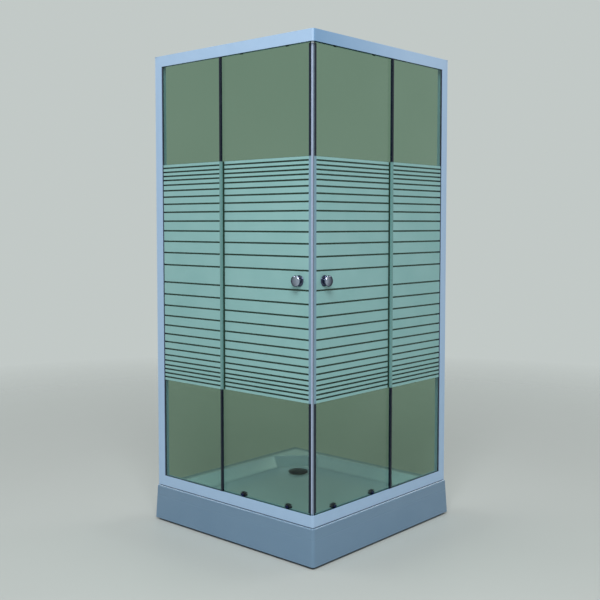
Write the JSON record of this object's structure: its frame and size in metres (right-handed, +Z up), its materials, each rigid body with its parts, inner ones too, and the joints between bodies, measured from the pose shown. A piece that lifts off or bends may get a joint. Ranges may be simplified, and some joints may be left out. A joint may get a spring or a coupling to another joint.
{
  "type": "shower enclosure",
  "caption": "Square corner shower enclosure with sliding glass doors, frosted horizontal bands, round knobs and a low tray with a corner drain.",
  "frame": {"origin": "on the floor, under the middle of the tray's square footprint", "axes": "+Z up; the glass sides face -Y and +X and meet at the +X -Y corner; the room's walls are at -X and +Y"},
  "size_m": [0.8908, 0.8908, 1.954],
  "materials": {
    "tray_acrylic": "glossy white acrylic",
    "base_board": "resin-coated particle board",
    "foot_plastic": "moulded plastic",
    "plated_steel": "zinc-plated steel",
    "trap_plastic": "moulded white plastic",
    "seal_rubber": "soft black rubber",
    "chrome_trim": "polished chrome plating",
    "white_frame": "white powder coat",
    "panel_glass": "clear tempered glass with printed frosted bands",
    "clear_seal": "clear soft plastic",
    "magnet_white": "white magnetic strip",
    "glazing_rubber": "dark soft gasket",
    "wheel_nylon": "moulded nylon",
    "spring_steel": "spring steel"
  },
  "bodies": {
    "frame": {"shower_tray": "tray_acrylic", "tray_base_board": "base_board", "foot_sockets": "foot_plastic", "foot_legs": "plated_steel", "foot_nuts": "plated_steel", "drain_flange": "chrome_trim", "drain_seals": "seal_rubber", "drain_trap": "trap_plastic", "wall_channels": "white_frame", "left_wall_post": "white_frame", "right_wall_post": "white_frame", "post_caps": "white_frame", "left_top_rail": "white_frame", "right_top_rail": "white_frame", "left_bottom_rail": "white_frame", "right_bottom_rail": "white_frame", "top_corner_piece": "white_frame", "bottom_corner_piece": "white_frame", "frame_screws": "plated_steel", "left_fixed_glass": "panel_glass", "right_fixed_glass": "panel_glass", "fixed_glass_gaskets": "glazing_rubber", "fixed_edge_seals": "clear_seal", "track_stops": "seal_rubber"},
    "left_door": {"left_door_glass": "panel_glass", "left_magnet_seal": "clear_seal", "left_magnet_strip": "magnet_white", "left_rear_seal": "clear_seal", "left_outer_knob": "chrome_trim", "left_inner_knob": "chrome_trim", "left_top_hangers": "plated_steel", "left_roller_caps": "chrome_trim", "left_bottom_housings": "chrome_trim", "left_front_spring": "spring_steel", "left_rear_spring": "spring_steel"},
    "left_front_carriage": {"left_front_carriage": "chrome_trim"},
    "left_front_top_wheel": {"left_front_top_wheel": "wheel_nylon"},
    "left_front_bottom_wheel": {"left_front_bottom_wheel": "wheel_nylon"},
    "left_rear_carriage": {"left_rear_carriage": "chrome_trim"},
    "left_rear_top_wheel": {"left_rear_top_wheel": "wheel_nylon"},
    "left_rear_bottom_wheel": {"left_rear_bottom_wheel": "wheel_nylon"},
    "right_door": {"right_door_glass": "panel_glass", "right_magnet_seal": "clear_seal", "right_magnet_strip": "magnet_white", "right_rear_seal": "clear_seal", "right_outer_knob": "chrome_trim", "right_inner_knob": "chrome_trim", "right_top_hangers": "plated_steel", "right_roller_caps": "chrome_trim", "right_bottom_housings": "chrome_trim", "right_front_spring": "spring_steel", "right_rear_spring": "spring_steel"},
    "right_front_carriage": {"right_front_carriage": "chrome_trim"},
    "right_front_top_wheel": {"right_front_top_wheel": "wheel_nylon"},
    "right_front_bottom_wheel": {"right_front_bottom_wheel": "wheel_nylon"},
    "right_rear_carriage": {"right_rear_carriage": "chrome_trim"},
    "right_rear_top_wheel": {"right_rear_top_wheel": "wheel_nylon"},
    "right_rear_bottom_wheel": {"right_rear_bottom_wheel": "wheel_nylon"},
    "drain_cup": {"drain_cup": "trap_plastic"},
    "drain_cover": {"drain_cover": "chrome_trim"}
  },
  "joints": [
    {"name": "left_door_slide", "type": "slide", "parent": "frame", "child": "left_door", "axis": [-1, 0, 0], "range_m": [0, 0.329]},
    {"name": "left_front_carriage_slide", "type": "slide", "parent": "left_door", "child": "left_front_carriage", "axis": [0, 0, -1], "range_m": [0, 0.0035], "stiffness_N_per_m": 400, "springref_m": -0.01, "deforming": ["left_front_spring"]},
    {"name": "left_front_top_wheel_spin", "type": "hinge", "parent": "left_door", "child": "left_front_top_wheel", "pos_m": [0.289, -0.4081, 1.92645], "axis": [0, 1, 0], "continuous": true},
    {"name": "left_front_bottom_wheel_spin", "type": "hinge", "parent": "left_front_carriage", "child": "left_front_bottom_wheel", "pos_m": [0.289, -0.4081, 0.17555], "axis": [0, 1, 0], "continuous": true},
    {"name": "left_rear_carriage_slide", "type": "slide", "parent": "left_door", "child": "left_rear_carriage", "axis": [0, 0, -1], "range_m": [0, 0.0035], "stiffness_N_per_m": 400, "springref_m": -0.01, "deforming": ["left_rear_spring"]},
    {"name": "left_rear_top_wheel_spin", "type": "hinge", "parent": "left_door", "child": "left_rear_top_wheel", "pos_m": [0.05237, -0.4081, 1.92645], "axis": [0, 1, 0], "continuous": true},
    {"name": "left_rear_bottom_wheel_spin", "type": "hinge", "parent": "left_rear_carriage", "child": "left_rear_bottom_wheel", "pos_m": [0.05237, -0.4081, 0.17555], "axis": [0, 1, 0], "continuous": true},
    {"name": "right_door_slide", "type": "slide", "parent": "frame", "child": "right_door", "axis": [0, 1, 0], "range_m": [0, 0.329]},
    {"name": "right_front_carriage_slide", "type": "slide", "parent": "right_door", "child": "right_front_carriage", "axis": [0, 0, -1], "range_m": [0, 0.0035], "stiffness_N_per_m": 400, "springref_m": -0.01, "deforming": ["right_front_spring"]},
    {"name": "right_front_top_wheel_spin", "type": "hinge", "parent": "right_door", "child": "right_front_top_wheel", "pos_m": [0.4081, -0.289, 1.92645], "axis": [1, 0, 0], "continuous": true},
    {"name": "right_front_bottom_wheel_spin", "type": "hinge", "parent": "right_front_carriage", "child": "right_front_bottom_wheel", "pos_m": [0.4081, -0.289, 0.17555], "axis": [1, 0, 0], "continuous": true},
    {"name": "right_rear_carriage_slide", "type": "slide", "parent": "right_door", "child": "right_rear_carriage", "axis": [0, 0, -1], "range_m": [0, 0.0035], "stiffness_N_per_m": 400, "springref_m": -0.01, "deforming": ["right_rear_spring"]},
    {"name": "right_rear_top_wheel_spin", "type": "hinge", "parent": "right_door", "child": "right_rear_top_wheel", "pos_m": [0.4081, -0.05237, 1.92645], "axis": [1, 0, 0], "continuous": true},
    {"name": "right_rear_bottom_wheel_spin", "type": "hinge", "parent": "right_rear_carriage", "child": "right_rear_bottom_wheel", "pos_m": [0.4081, -0.05237, 0.17555], "axis": [1, 0, 0], "continuous": true},
    {"name": "drain_cup_lift", "type": "slide", "parent": "frame", "child": "drain_cup", "axis": [0, 0, 1], "range_m": [0, 0.07]},
    {"name": "drain_cover_lift", "type": "slide", "parent": "drain_cup", "child": "drain_cover", "axis": [0, 0, 1], "range_m": [0, 0.05]}
  ],
  "couplings": [
    {"joint": "left_front_top_wheel_spin", "follows": "left_door_slide", "rad_per_m": -105.26},
    {"joint": "left_front_bottom_wheel_spin", "follows": "left_door_slide", "rad_per_m": 105.26},
    {"joint": "left_rear_top_wheel_spin", "follows": "left_door_slide", "rad_per_m": -105.26},
    {"joint": "left_rear_bottom_wheel_spin", "follows": "left_door_slide", "rad_per_m": 105.26},
    {"joint": "right_front_top_wheel_spin", "follows": "right_door_slide", "rad_per_m": -105.26},
    {"joint": "right_front_bottom_wheel_spin", "follows": "right_door_slide", "rad_per_m": 105.26},
    {"joint": "right_rear_top_wheel_spin", "follows": "right_door_slide", "rad_per_m": -105.26},
    {"joint": "right_rear_bottom_wheel_spin", "follows": "right_door_slide", "rad_per_m": 105.26}
  ]
}
